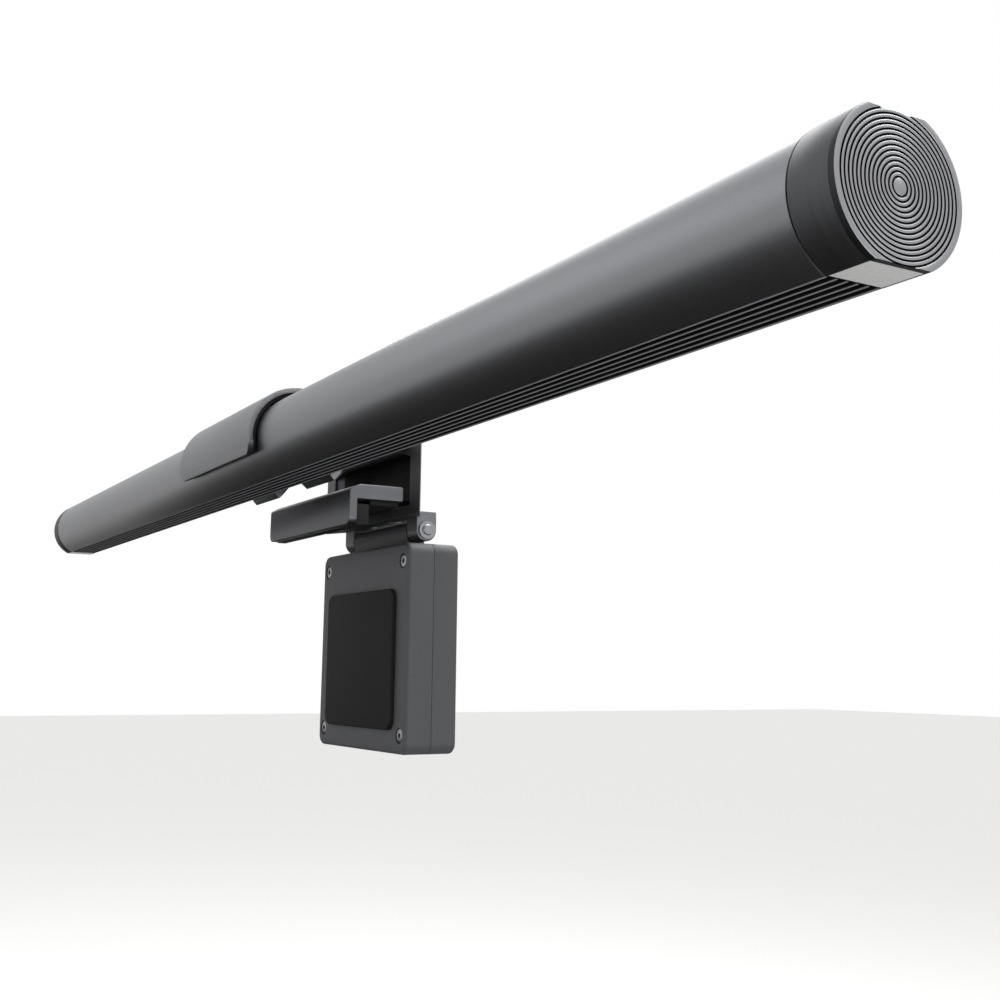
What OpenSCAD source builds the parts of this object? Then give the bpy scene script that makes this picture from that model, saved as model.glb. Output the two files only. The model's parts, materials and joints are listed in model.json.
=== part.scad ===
// Monitor light bar: a round lamp held in an open saddle, on a hook that
// hangs over a monitor's top edge, with a weighted leg behind the screen.
// Millimetres. Origin: middle of the underside of the hook's rest pad.
// +X runs along the bar, +Y to the rear of the monitor, +Z up.

/* [Lamp] */
// Length of the whole bar
bar_len = 450; // [360:5:520]
// Outer diameter of the tube
tube_d = 21.8; // [21.4:0.1:22]
// Wall of the tube
tube_wall = 1.3; // [1.1:0.1:1.5]
// Length of each end cap without its disc
cap_len = 7; // [6:0.5:9]
// Thickness of each end disc
disc_t = 1; // [0.8:0.1:1.2]
// Distance of the bottom flat from the tube's axis
flat_z = 9.8; // [9.6:0.1:10]
// Number of light chips of each colour
chips = 32; // [20:1:36]

/* [Saddle] */
// Length of the saddle along the bar
saddle_len = 59; // [56:1:64]
// Height of the tube's axis over the monitor's top edge
axis_z = 15; // [15:0.5:17]
// Distance of the tube's axis in front of the origin
axis_y = 25; // [25:0.5:26]
// How far the saddle reaches round the front, from the rear horizontal
front_deg = 201; // [190:1:205]
// How far the saddle reaches round below the rear horizontal
rear_deg = 44; // [40:1:48]

/* [Hook and neck] */
// Width of the hook
hook_w = 58.6; // [56:0.2:60]
// Width of the neck's bezel and of the leg
neck_w = 63.6; // [62:0.2:68]
// Half width of the bezel's window
window_x = 25.7; // [25:0.1:26]

/* [Leg] */
// Height of the leg
leg_h = 55; // [50:1:60]
// Thickness of the leg
leg_t = 15; // [15:0.5:16]

/* [Hidden] */
$fn = 96;
// Overlap that joins two solids of one piece, and the gap between two pieces
eps = 0.01;
gap = 0.1;

tube_r = tube_d / 2;
bore_r = tube_r - tube_wall;
body_x = bar_len / 2 - disc_t - cap_len;
slot_w = 9.6;

// Louvre and optics under the tube's axis
louvre_z = -8;
rib_pitch = 1.8;
rib_t = 0.5;
ribs = 6;
optic_x = body_x - 9;
lens_t = 1;
led_z = -5;
board_t = 1;
chip_h = 0.7;

// Screw channels inside the tube
channel_y = 4.1;
channel_z = 7.1;
channel_r = 1.7;
channel_bore = 1.1;

// Inlet
socket_deg = -10;
socket_w = 8.94;
socket_h = 3.26;
socket_l = 7.3;

// End discs
rings = 14;
ring_pitch = 0.66;
ring_r0 = 1.24;
ring_w = 0.3;
ring_depth = 0.25;
disc_flat = 9.6;

// Saddle
liner_r = tube_r + 0.3;
clip_r = liner_r + 0.8;
clip_front_t = 1.4;
clip_rear_t = 2;
clip_mid_r = clip_r + (clip_rear_t + clip_front_t) / 2;
clip_lean = (clip_rear_t - clip_front_t) / 2;
clip_corner_r = 4;
notch_r = 11.2;
notch_w = 16;
notch_top = 17;

// Screws of the saddle, of the hook, and between neck and arm
saddle_screw_x = 17.5;
arm_screw_z = 18.8;
hook_screw_x = 8;
hook_screw_y = 12.6;
neck_joint_x = 8;

// Neck
bezel_y = 8.3;
bezel_t = 2;
neck_top = 20.5;
neck_bottom = -1.5;
shell_y1 = 17.5;
pocket_y = 14.9;
pocket_x = 14;
flare_y = 8.6;
flare_slope = 2.05;
sill_z = 1.2;
chamfer_z = 14.5;
chamfer_x = 19;
window_top = 16.3;
tub_t = 1;
corner_r = 3;
arm_z0 = 17;
arm_x0 = 10.5;
arm_x1 = 25;

// Hook
lip_y = -10.5;
lip_bottom = -5.4;
pad_y = -8.3;
screen_y = -4.8;
plate_z = 1.3;
plate_top = 5.2;
plate_rear = 4.8;
tongue_w = 26;
tongue_end = 14.6;
tongue_top = 4.2;

// Hinge and leg
pivot_y = 14.5;
pivot_z = -5;
pin_r = 1.5;
knuckle_r = 3;
knuckle_w = 35;
web_y = 2.6;
lug_w = 6;
lug_x = 18;
leg_top = -8.9;
leg_w = 58;
leg_wall = 1.6;
leg_y0 = pivot_y - leg_t / 2;
leg_y1 = pivot_y + leg_t / 2;

// A cylinder along X from x0 to x1
module rod(r, x0, x1) {
    translate([x0, 0, 0]) rotate([0, 90, 0]) cylinder(r = r, h = x1 - x0);
}

// A box between two corners
module block(a, b) {
    translate(a) cube(b - a);
}

// Puts children on the tube's axis
module on_axis() {
    translate([0, -axis_y, axis_z]) children();
}

// Puts children on the leg's hinge
module on_hinge() {
    translate([0, pivot_y, pivot_z]) children();
}

// A flat plate in XZ from y0 to y1 with round corners at the top only
module arch_plate(w, z0, z1, r, y0, y1) {
    translate([0, y1, 0]) rotate([90, 0, 0]) linear_extrude(y1 - y0) {
        translate([-w / 2, z0]) square([w, z1 - z0 - r]);
        translate([-w / 2 + r, z0]) square([w - 2 * r, z1 - z0]);
        for (s = [-1, 1]) translate([s * (w / 2 - r), z1 - r]) circle(r);
    }
}

// A plate in XZ from y0 to y1 with all four corners round
module round_plate(w, z0, z1, r, y0, y1) {
    translate([0, y1, 0]) rotate([90, 0, 0]) linear_extrude(y1 - y0) {
        translate([-w / 2, z0 + r]) square([w, z1 - z0 - 2 * r]);
        translate([-w / 2 + r, z0]) square([w - 2 * r, z1 - z0]);
        for (s = [-1, 1], z = [z0 + r, z1 - r]) translate([s * (w / 2 - r), z]) circle(r);
    }
}

// A slot outline w by h in XZ with round ends, from y0 to y1
module round_slot(w, h, y0, y1) {
    translate([0, y1, 0]) rotate([90, 0, 0]) linear_extrude(y1 - y0) {
        square([w - h, h], center = true);
        for (s = [-1, 1]) translate([s * (w - h) / 2, 0]) circle(h / 2);
    }
}

// The neck's window outline grown by g, from y0 to y1
module window(g, y0, y1) {
    translate([0, y1, 0]) rotate([90, 0, 0]) linear_extrude(y1 - y0)
        polygon([[-window_x - g, sill_z - g], [window_x + g, sill_z - g],
                 [window_x + g, chamfer_z], [chamfer_x + g, window_top + g],
                 [-chamfer_x - g, window_top + g], [-window_x - g, chamfer_z]]);
}

// A tall prism that narrows evenly from half width a at y0 to b at y1
module flare(a, b, y0, y1) {
    translate([0, 0, -30]) linear_extrude(80)
        polygon([[-a, -30], [a, -30], [a, y0], [b, y1], [-b, y1], [-a, y0]]);
}

// Outside of the neck's housing: it narrows behind the bezel's front edge
module housing_flare() {
    flare(neck_w / 2, neck_w / 2 - flare_slope * (shell_y1 - flare_y), flare_y, shell_y1);
}

// The pocket behind the window, grown by g, from y0
module pocket(g, y0) {
    intersection() {
        window(g, y0, pocket_y + g);
        flare(window_x + g, pocket_x + g, bezel_y + 0.7, pocket_y + g);
    }
}

// ---------------------------------------------------------------- lamp

// Extruded tube: a slot below for the light, two screw channels inside
module tube() {
    color("#3b3d40") on_axis() difference() {
        union() {
            difference() {
                rod(tube_r, -body_x, body_x);
                rod(bore_r, -body_x - 1, body_x + 1);
            }
            for (s = [-1, 1]) translate([0, s * channel_y, channel_z])
                rod(channel_r, -body_x, body_x);
        }
        for (s = [-1, 1]) translate([0, s * channel_y, channel_z])
            rod(channel_bore, -body_x - 1, body_x + 1);
        block([-body_x - 1, -slot_w / 2, -tube_r - 1], [body_x + 1, slot_w / 2, 0]);
        rotate([socket_deg, 0, 0])
            round_slot(socket_w + 2 * gap, socket_h + 2 * gap, 0, tube_r + 1);
    }
}

// Long ribs that keep the light off the screen, joined by cross ties
module louvre_strip() {
    tie_n = 8;
    rib_w = slot_w / 2 - gap;
    color("#0e0e10") on_axis() {
        for (i = [0 : ribs - 1]) {
            y = (i - (ribs - 1) / 2) * rib_pitch;
            block([-body_x + gap, y - rib_t / 2, -flat_z], [body_x - gap, y + rib_t / 2, louvre_z]);
        }
        for (i = [0 : tie_n]) {
            x = -body_x + gap + i * (2 * body_x - 2 * gap - 2) / tie_n;
            block([x, -rib_w, -flat_z + 0.8], [x + 2, rib_w, louvre_z]);
        }
    }
}

// Smoked lens over the louvre
module diffuser_lens() {
    color("#2a2b2e") on_axis()
        block([-optic_x, -5.25, louvre_z + 0.05], [optic_x, 5.25, louvre_z + 0.05 + lens_t]);
}

// White channel that folds the light down
module reflector() {
    z0 = louvre_z + lens_t + gap;
    color("#f2f2ee") on_axis() {
        for (s = [-1, 1]) mirror([0, s < 0 ? 1 : 0, 0])
            block([-optic_x, 5, z0], [optic_x, 5.6, led_z + board_t]);
    }
}

// Long light board
module led_board() {
    color("#e6e8e2") on_axis()
        block([-optic_x + 1, -4.8, led_z], [optic_x - 1, 4.8, led_z + board_t]);
}

// One row of chips, started at a share of the pitch
module chip_row(share) {
    pitch = 2 * (optic_x - 4) / chips;
    on_axis() for (i = [0 : chips - 1]) {
        x = -optic_x + 4 + (i + share) * pitch;
        block([x - 1.5, -0.8, led_z - chip_h], [x + 1.5, 0.8, led_z]);
    }
}

module led_chips_warm() { color("#e9b25a") chip_row(0.25); }
module led_chips_cool() { color("#f3e98c") chip_row(0.75); }

// Board frame: turned with the inlet
module on_board() {
    on_axis() rotate([socket_deg, 0, 0]) children();
}

module driver_board() {
    color("#1f6b3c") on_board() difference() {
        block([-34, -7, 1.7], [34, 8.2, 2.7]);
        for (x = [-30, 30]) translate([x, 0, 0]) cylinder(r = 1.1, h = 5);
    }
}

// Coil, capacitors, driver chips and resistors on the driver board
module driver_parts() {
    color("#26262a") on_board() {
        translate([-20, 1.5, 2.7]) cylinder(r = 3, h = 2.6);
        block([-10, -1, 2.7], [-5, 4, 3.9]);
        block([4, -1.5, 2.7], [8, 2.5, 3.7]);
        for (x = [-26.5, 11, 14, 17]) block([x, -2, 2.7], [x + 1.6, 0, 3.5]);
        for (x = [11, 14, 17]) block([x, 2, 2.7], [x + 1.6, 3.2, 3.3]);
    }
}

// Small shielded radio for the wireless knob
module radio_module() {
    color("#9a9ca0") on_board() {
        block([20.5, -3.5, 2.7], [29, 4.5, 3.3]);
        block([21.2, -2.8, 3.3], [27, 3.8, 4.6]);
    }
}

// Inlet shell with its mouth open to the rear, and its contact tongue
module usb_socket() {
    back_y = tube_r - socket_l;
    wall = 0.3;
    back_t = 0.6;
    tongue = 3.35;
    tongue_t = 0.35;
    color("#b9bcc0") on_board() difference() {
        round_slot(socket_w, socket_h, back_y, tube_r - 0.25);
        round_slot(socket_w - 2 * wall, socket_h - 2 * wall, back_y + back_t, tube_r);
    }
    color("#16161a") on_board()
        block([-tongue, back_y + back_t, -tongue_t], [tongue, tube_r - 1.2, tongue_t]);
}

// Header pins from the driver board down to the light board
module board_link_pins() {
    color("#c8a24a") on_axis()
        for (x = [-30.4, -27.9, 27.9, 30.4]) translate([x, -3.6, led_z + board_t])
            cylinder(r = 0.32, h = 6.25, $fn = 24);
}

// Cap for the end at +X: round body, flat above and below, plug into the tube
module end_cap(side) {
    plug_r = bore_r - gap;
    plug_l = 8;
    recess_z = 0.8;
    mirror([side < 0 ? 1 : 0, 0, 0]) color("#1b1b1d") on_axis() difference() {
        union() {
            difference() {
                rod(tube_r, body_x, body_x + cap_len);
                block([0, -tube_r - 1, -tube_r - 1], [bar_len, tube_r + 1, -flat_z]);
                block([0, -tube_r - 1, disc_flat], [bar_len, tube_r + 1, tube_r + 1]);
            }
            difference() {
                rod(plug_r, body_x - plug_l, body_x + eps);
                rod(plug_r - 1.6, body_x - plug_l - 1, body_x - 1);
                block([0, -tube_r, -tube_r], [body_x, tube_r, led_z + board_t + 0.4]);
                for (s = [-1, 1]) translate([0, s * channel_y, channel_z])
                    rod(channel_r + 0.15, 0, body_x);
            }
        }
        // recess for the pale plate
        block([body_x + 0.3, -4.6, -tube_r], [body_x + cap_len + 1, 4.6, -flat_z + recess_z]);
        for (s = [-1, 1]) translate([0, s * channel_y, channel_z]) {
            rod(1.3, body_x - plug_l, body_x + cap_len + 1);
            rod(2.1, body_x + cap_len - 1.8, body_x + cap_len + 1);
        }
    }
}

module end_cap_left() { end_cap(-1); }
module end_cap_right() { end_cap(1); }

// Disc over the cap: fine turned rings, a flat above and one below
module end_disc(side) {
    x0 = body_x + cap_len;
    mirror([side < 0 ? 1 : 0, 0, 0]) color("#2a2b2d") on_axis() difference() {
        rod(tube_r, x0, x0 + disc_t);
        for (s = [-1, 1]) block([0, -20, s < 0 ? -20 : disc_flat],
                                [bar_len, 20, s < 0 ? -flat_z : 20]);
        for (i = [0 : rings - 1]) {
            r = ring_r0 + i * ring_pitch;
            difference() {
                rod(r + ring_w / 2, x0 + disc_t - ring_depth, x0 + disc_t + 1);
                rod(r - ring_w / 2, x0, x0 + disc_t + 2);
            }
        }
    }
}

module end_disc_left() { end_disc(-1); }
module end_disc_right() { end_disc(1); }

// Pale plate let into the cap's bottom flat
module cap_plate(side) {
    mirror([side < 0 ? 1 : 0, 0, 0]) color("#a9aaab") on_axis()
        block([body_x + 0.35, -4.55, -flat_z], [body_x + cap_len, 4.55, -flat_z + 0.75]);
}

module cap_plate_left() { cap_plate(-1); }
module cap_plate_right() { cap_plate(1); }

// Two screws from the cap into the tube's channels
module cap_screws(side) {
    x1 = body_x + cap_len;
    mirror([side < 0 ? 1 : 0, 0, 0]) color("#8d8f92") on_axis()
        for (s = [-1, 1]) translate([0, s * channel_y, channel_z]) {
            rod(1.05, body_x - 9, x1 - 1.7);
            difference() {
                rod(1.9, x1 - 1.8, x1 - 0.4);
                rod(0.9, x1 - 1.1, x1 + 1);
            }
        }
}

module cap_screws_left() { cap_screws(-1); }
module cap_screws_right() { cap_screws(1); }

// ---------------------------------------------------------------- saddle

// Everything below the saddle's two edges, as one prism along X
module open_side() {
    far = 30;
    translate([-saddle_len, 0, 0]) rotate([90, 0, 90]) linear_extrude(2 * saddle_len)
        polygon([[0, 0],
                 [far * cos(front_deg), far * sin(front_deg)],
                 [far * cos(front_deg + 30), far * sin(front_deg + 30)],
                 [0, -far],
                 [far * cos(-rear_deg - 20), far * sin(-rear_deg - 20)],
                 [far * cos(-rear_deg), far * sin(-rear_deg)]]);
}

// Way for the cable's plug: a slot that widens in an arch at the rear edge
module plug_notch() {
    arch_z = -13;
    translate([0, 20, 0]) rotate([90, 0, 0]) linear_extrude(20) {
        translate([-notch_w / 2, arch_z]) square([notch_w, notch_top - axis_z - arch_z]);
        translate([0, arch_z]) circle(notch_r);
    }
}

// Cutters that round off the saddle's two front corners
module front_corners(x_half, r) {
    rotate([front_deg - 180, 0, 0]) for (s = [-1, 1]) difference() {
        block([s < 0 ? -x_half - 1 : x_half - r, -20, -1], [s < 0 ? -x_half + r : x_half + 1, 0, r]);
        translate([s * (x_half - r), 1, r]) rotate([90, 0, 0]) cylinder(r = r + 0.06, h = 22);
    }
}

// Moves the clip's outer round towards its rear edge, so the wall thickens there
module clip_offset() {
    translate([0, clip_lean * cos(-rear_deg), clip_lean * sin(-rear_deg)]) children();
}

// Open saddle of sheet metal round the tube
module saddle_clip() {
    half = saddle_len / 2;
    color("#4a4b4e") on_axis() difference() {
        clip_offset() rod(clip_mid_r, -half, half);
        rod(clip_r, -half - 1, half + 1);
        open_side();
        plug_notch();
        front_corners(half, clip_corner_r);
        for (s = [-1, 1]) translate([s * saddle_screw_x, 0, arm_screw_z - axis_z]) rotate([-90, 0, 0]) {
            cylinder(r = 1.3, h = 20);
            cylinder(r = 2.3, h = 12.4);
        }
    }
}

// Black liner that grips the tube
module saddle_liner() {
    half = saddle_len / 2 - 0.6;
    color("#0c0c0d") on_axis() difference() {
        rod(clip_r, -half, half);
        rod(liner_r, -half - 1, half + 1);
        open_side();
        plug_notch();
        front_corners(half, clip_corner_r);
        for (s = [-1, 1]) translate([s * saddle_screw_x, 0, arm_screw_z - axis_z]) rotate([-90, 0, 0])
            cylinder(r = 2.4, h = 20);
    }
}

// Two screws from inside the saddle into the arm
module saddle_screws() {
    color("#8d8f92") for (s = [-1, 1]) translate([s * saddle_screw_x, -axis_y, arm_screw_z]) rotate([-90, 0, 0]) {
        difference() {
            translate([0, 0, 11.4]) cylinder(r = 2.1, h = 0.9);
            translate([0, 0, 10]) cylinder(r = 0.8, h = 1.9);
        }
        translate([0, 0, 12.2]) cylinder(r = 1.05, h = 8);
    }
}

// ---------------------------------------------------------------- neck

// Two-armed bridge from the saddle to the bezel; a plug passes between
module neck_arm() {
    color("#3e3f42") difference() {
        union() {
            for (s = [-1, 1]) mirror([s < 0 ? 1 : 0, 0, 0])
                block([arm_x0, -axis_y + 8, arm_z0], [arm_x1, bezel_y, neck_top]);
            block([-arm_x1, 2, arm_z0], [arm_x1, bezel_y, neck_top]);
        }
        on_axis() clip_offset() rod(clip_mid_r + gap / 2, -saddle_len, saddle_len);
        for (s = [-1, 1]) translate([s * saddle_screw_x, -axis_y, arm_screw_z]) rotate([-90, 0, 0])
            cylinder(r = 1.1, h = 21);
        for (s = [-1, 1]) translate([s * neck_joint_x, bezel_y + 1, arm_screw_z]) rotate([90, 0, 0])
            cylinder(r = 1.1, h = 8);
    }
}

// Front face of the neck: a frame round its window
module neck_bezel() {
    color("#46474a") difference() {
        intersection() {
            arch_plate(neck_w, neck_bottom, neck_top, corner_r, bezel_y, bezel_y + bezel_t);
            housing_flare();
        }
        pocket(0, bezel_y - 1);
        for (s = [-1, 1]) translate([s * neck_joint_x, bezel_y - 1, arm_screw_z]) rotate([-90, 0, 0])
            cylinder(r = 1.3, h = 5);
    }
}

// Rear shell of the neck with the two hinge lugs
module neck_shell() {
    y0 = bezel_y + bezel_t;
    color("#3e3f42") difference() {
        union() {
            difference() {
                union() {
                    intersection() {
                        arch_plate(neck_w, neck_bottom, neck_top, corner_r, y0, shell_y1);
                        housing_flare();
                    }
                    block([-lug_x - lug_w, y0, neck_bottom], [lug_x + lug_w, shell_y1, 0]);
                }
                pocket(tub_t + gap, y0 - 1);
            }
            on_hinge() for (s = [-1, 1]) mirror([s < 0 ? 1 : 0, 0, 0]) {
                rod(knuckle_r, lug_x, lug_x + lug_w);
                block([lug_x, -knuckle_r, 0], [lug_x + lug_w, knuckle_r, neck_bottom - pivot_z + eps]);
            }
        }
        on_hinge() rod(pin_r, -40, 40);
        for (s = [-1, 1]) {
            translate([s * hook_screw_x, hook_screw_y, neck_bottom - 1]) {
                cylinder(r = 1.3, h = 5);
                cylinder(r = 2.2, h = 1.8);
            }
            translate([s * neck_joint_x, y0 - 1, arm_screw_z]) rotate([-90, 0, 0]) cylinder(r = 1.3, h = 20);
            translate([s * neck_joint_x, shell_y1 - 1.6, arm_screw_z]) rotate([-90, 0, 0]) cylinder(r = 2.2, h = 20);
        }
    }
}

// Black tub that lines the pocket behind the window
module pocket_tub() {
    y0 = bezel_y + bezel_t;
    color("#101012") difference() {
        pocket(tub_t, y0);
        pocket(0, y0 - 1);
        for (s = [-1, 1]) translate([s * hook_screw_x, hook_screw_y, neck_bottom - 1]) cylinder(r = 1.3, h = 5);
    }
}

// Two screws through the rear shell and bezel into the arm
module neck_screws() {
    color("#8d8f92") for (s = [-1, 1]) translate([s * neck_joint_x, 0, arm_screw_z]) rotate([-90, 0, 0]) {
        translate([0, 0, 2.5]) cylinder(r = 1.05, h = shell_y1 - 1.5 - 2.5);
        difference() {
            translate([0, 0, shell_y1 - 1.6]) cylinder(r = 2, h = 1.3);
            translate([0, 0, shell_y1 - 1]) cylinder(r = 0.9, h = 2);
        }
    }
}

// ---------------------------------------------------------------- hook

// Side outline of the hook as [y, z]
module hook_outline() {
    nose_r = 0.6;
    nose_y = plate_rear - 1.6;
    polygon([[lip_y, lip_bottom], [lip_y, 3.2], [lip_y + 0.3, 3.7], [-8.1, 4.9], [-7.4, 5.1],
             [nose_y, plate_top], [nose_y, plate_z], [pad_y, plate_z], [pad_y, lip_bottom]]);
    translate([nose_y, plate_z]) square([plate_rear - nose_r - nose_y, plate_top - plate_z]);
    translate([nose_y, plate_z + nose_r])
        square([plate_rear - nose_y, plate_top - plate_z - 2 * nose_r]);
    for (z = [plate_z + nose_r, plate_top - nose_r]) translate([plate_rear - nose_r, z]) circle(nose_r);
}

// Extrudes a [y, z] outline to the full width w
module across(w) {
    translate([-w / 2, 0, 0]) rotate([90, 0, 90]) linear_extrude(w) children();
}

// Hook: lip in front of the screen, plate over its edge, tongue to the neck
module hook() {
    lip_r = 2;
    color("#48494c") difference() {
        union() {
            across(hook_w) hook_outline();
            block([-tongue_w / 2, 4, plate_z], [tongue_w / 2, tongue_end, tongue_top]);
        }
        for (s = [-1, 1]) difference() {
            block([s < 0 ? -hook_w / 2 - 1 : hook_w / 2 - lip_r, lip_y - 1, lip_bottom - 1],
                  [s < 0 ? -hook_w / 2 + lip_r : hook_w / 2 + 1, pad_y + 1, lip_bottom + lip_r]);
            translate([s * (hook_w / 2 - lip_r), pad_y + 2, lip_bottom + lip_r]) rotate([90, 0, 0])
                cylinder(r = lip_r, h = 6);
        }
        for (s = [-1, 1]) translate([s * hook_screw_x, hook_screw_y, 0]) cylinder(r = 1.1, h = 3.6);
    }
}

// Soft pad between the lip and the front of the screen
module hook_front_pad() {
    r = 1.2;
    z0 = lip_bottom - 0.1;
    t = screen_y - pad_y;
    color("#0d0d0e") across(hook_w - 0.8) {
        translate([pad_y, z0]) square([t - r, -z0]);
        translate([pad_y, z0 + r]) square([t, -z0 - r]);
        translate([screen_y - r, z0 + r]) circle(r);
    }
}

// Soft pad under the plate, on the screen's top edge
module hook_rest_pad() {
    color("#0d0d0e") block([-hook_w / 2 + 1.3, screen_y + 0.6, 0], [hook_w / 2 - 1.3, 4, plate_z]);
}

// Two screws up through the neck's floor into the tongue
module hook_screws() {
    color("#8d8f92") for (s = [-1, 1]) translate([s * hook_screw_x, hook_screw_y, 0]) {
        translate([0, 0, neck_bottom + 0.6]) cylinder(r = 1.05, h = 4.3);
        difference() {
            translate([0, 0, neck_bottom + 0.05]) cylinder(r = 2, h = 0.7);
            translate([0, 0, neck_bottom]) cylinder(r = 0.8, h = 0.5);
        }
    }
}

// ---------------------------------------------------------------- leg

// Steel pin held in the neck's lugs
module hinge_pin() {
    color("#b0b2b5") on_hinge() rod(pin_r, -lug_x - lug_w - 1.2, lug_x + lug_w + 1.2);
}

// Snap rings on the pin's ends
module pin_rings() {
    x0 = lug_x + lug_w + 0.1;
    color("#8d8f92") on_hinge() for (s = [-1, 1]) mirror([s < 0 ? 1 : 0, 0, 0]) difference() {
        rod(2.4, x0, x0 + 0.6);
        rod(pin_r, x0 - 1, x0 + 2);
    }
}

// One half of the leg's case, as a shell open at the middle plane
module leg_case(y0, y1) {
    z0 = leg_top - leg_h;
    intersection() {
        difference() {
            round_plate(leg_w, z0, leg_top, corner_r, leg_y0, leg_y1);
            round_plate(leg_w - 2 * leg_wall, z0 + leg_wall, leg_top - leg_wall,
                        corner_r - leg_wall, leg_y0 + leg_wall, leg_y1 - leg_wall);
        }
        block([-leg_w, y0, z0 - 1], [leg_w, y1, leg_top + 1]);
    }
}

// Places of the leg's four screws
module at_leg_screws() {
    for (s = [-1, 1], z = [leg_top - 4.8, leg_top - leg_h + 4.8])
        translate([s * (leg_w / 2 - 3.7), 0, z]) rotate([-90, 0, 0]) children();
}

// Front half: carries the hinge knuckle
module leg_front_shell() {
    color("#3e3f42") difference() {
        union() {
            leg_case(leg_y0, pivot_y);
            on_hinge() rod(knuckle_r, -knuckle_w / 2, knuckle_w / 2);
            block([-knuckle_w / 2, pivot_y - web_y, leg_top - leg_wall / 2],
                  [knuckle_w / 2, pivot_y, pivot_z]);
            block([-knuckle_w / 2, pivot_y - web_y, leg_top],
                  [knuckle_w / 2, pivot_y + web_y, pivot_z]);
        }
        on_hinge() rod(pin_r + 0.06, -40, 40);
        at_leg_screws() {
            cylinder(r = 1.2, h = 20);
            cylinder(r = 2, h = leg_y0 + 1.2);
        }
    }
}

// Rear half: screw posts stand inside it
module leg_rear_shell() {
    color("#3e3f42") difference() {
        union() {
            leg_case(pivot_y + gap / 2, leg_y1);
            at_leg_screws() translate([0, 0, leg_y0 + leg_wall + 0.1])
                cylinder(r = 2, h = leg_t - 2 * leg_wall);
        }
        at_leg_screws() cylinder(r = 1, h = leg_y1 - 2.4);
    }
}

// Steel weight inside the leg
module counterweight() {
    w = leg_w - 14;
    color("#77797c") round_plate(w, leg_top - leg_h + 3, leg_top - 3, 1.5,
                                 leg_y0 + leg_wall + 0.35, leg_y1 - leg_wall - 0.15);
}

// Soft pad that rests on the monitor's back
module leg_pad() {
    color("#0d0d0e") round_plate(44, leg_top - leg_h + 6, leg_top - 12, 3, leg_y0 - 1.2, leg_y0);
}

// Four screws through the front half into the rear half's posts
module leg_screws() {
    color("#8d8f92") at_leg_screws() {
        translate([0, 0, leg_y0 + 1.1]) cylinder(r = 0.95, h = 9);
        difference() {
            translate([0, 0, leg_y0 + 0.15]) cylinder(r = 1.8, h = 1);
            translate([0, 0, leg_y0]) cylinder(r = 0.8, h = 0.6);
        }
    }
}

tube();
louvre_strip();
diffuser_lens();
reflector();
led_board();
led_chips_warm();
led_chips_cool();
driver_board();
driver_parts();
radio_module();
usb_socket();
board_link_pins();
end_cap_left();
end_cap_right();
end_disc_left();
end_disc_right();
cap_plate_left();
cap_plate_right();
cap_screws_left();
cap_screws_right();
saddle_clip();
saddle_liner();
saddle_screws();
neck_arm();
neck_bezel();
neck_shell();
pocket_tub();
neck_screws();
hook();
hook_front_pad();
hook_rest_pad();
hook_screws();
hinge_pin();
pin_rings();
leg_front_shell();
leg_rear_shell();
counterweight();
leg_pad();
leg_screws();
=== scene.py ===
# %% [markdown]
# # Monitor light bar
# A round lamp lies in an open saddle, on a hook that hangs over a monitor's top
# edge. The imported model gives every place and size, so it is loaded first and
# never moved. Each piece we can see is then built again with finer edges and
# surfaces, and rides on the same body as the solid it stands for.

# %% Load the frame
import json
from math import asin, atan2, cos, degrees, pi, radians, sin, sqrt
import bmesh
import bpy
from mathutils import Matrix, Vector


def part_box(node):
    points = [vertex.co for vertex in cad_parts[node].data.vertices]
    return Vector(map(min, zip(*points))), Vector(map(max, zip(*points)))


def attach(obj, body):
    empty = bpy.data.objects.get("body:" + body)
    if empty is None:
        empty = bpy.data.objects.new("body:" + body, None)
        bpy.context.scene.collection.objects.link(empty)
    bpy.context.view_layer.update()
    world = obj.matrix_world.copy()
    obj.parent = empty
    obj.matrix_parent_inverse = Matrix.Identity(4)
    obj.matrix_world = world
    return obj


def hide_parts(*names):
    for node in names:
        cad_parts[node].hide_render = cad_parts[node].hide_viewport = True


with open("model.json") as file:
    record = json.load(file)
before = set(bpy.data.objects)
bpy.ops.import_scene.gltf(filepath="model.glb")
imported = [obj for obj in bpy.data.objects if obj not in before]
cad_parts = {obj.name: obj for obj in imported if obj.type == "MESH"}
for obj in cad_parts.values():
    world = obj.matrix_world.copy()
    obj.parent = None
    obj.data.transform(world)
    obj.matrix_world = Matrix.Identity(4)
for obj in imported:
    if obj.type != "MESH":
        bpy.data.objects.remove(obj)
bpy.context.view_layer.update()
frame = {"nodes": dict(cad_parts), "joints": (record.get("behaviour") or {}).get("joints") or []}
nodes = frame["nodes"]

# %% [markdown]
# The model is in metres, but a bar like this is drawn in millimetres. We measure
# the solids' boxes in millimetres, work in millimetres, and scale each mesh once
# at the end. Nothing is fitted by eye: the tilt joint gives the tube's axis, and
# the tube's box gives its radius and length.

# %% Measure the frame
MM = 0.001


def box_mm(node):
    """Lowest and highest corner of a node, in millimetres."""
    low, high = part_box(node)
    return low / MM, high / MM


joint_at = {joint["name"]: Vector(joint["pos_m"]) / MM for joint in frame["joints"]}
AXIS = joint_at["bar_tilt"]
PIVOT = joint_at["leg_swing"]
axis_y, axis_z = AXIS.y, AXIS.z
tube_high = box_mm("tube")[1]
tube_r = round(tube_high.z - axis_z, 1)
body_x = tube_high.x
print("tube radius", round(tube_r, 3), "axis", [round(v, 3) for v in AXIS], "half length", round(body_x, 2))

# %% [markdown]
# Most parts of the bar are extruded or moulded, so their shape is an outline
# pulled along one direction. A pen draws the outline: straight strokes pull a
# vertex, and arcs spin it. Three turns lay the drawing plane so that the pull
# runs along X, Y or Z.

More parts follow.
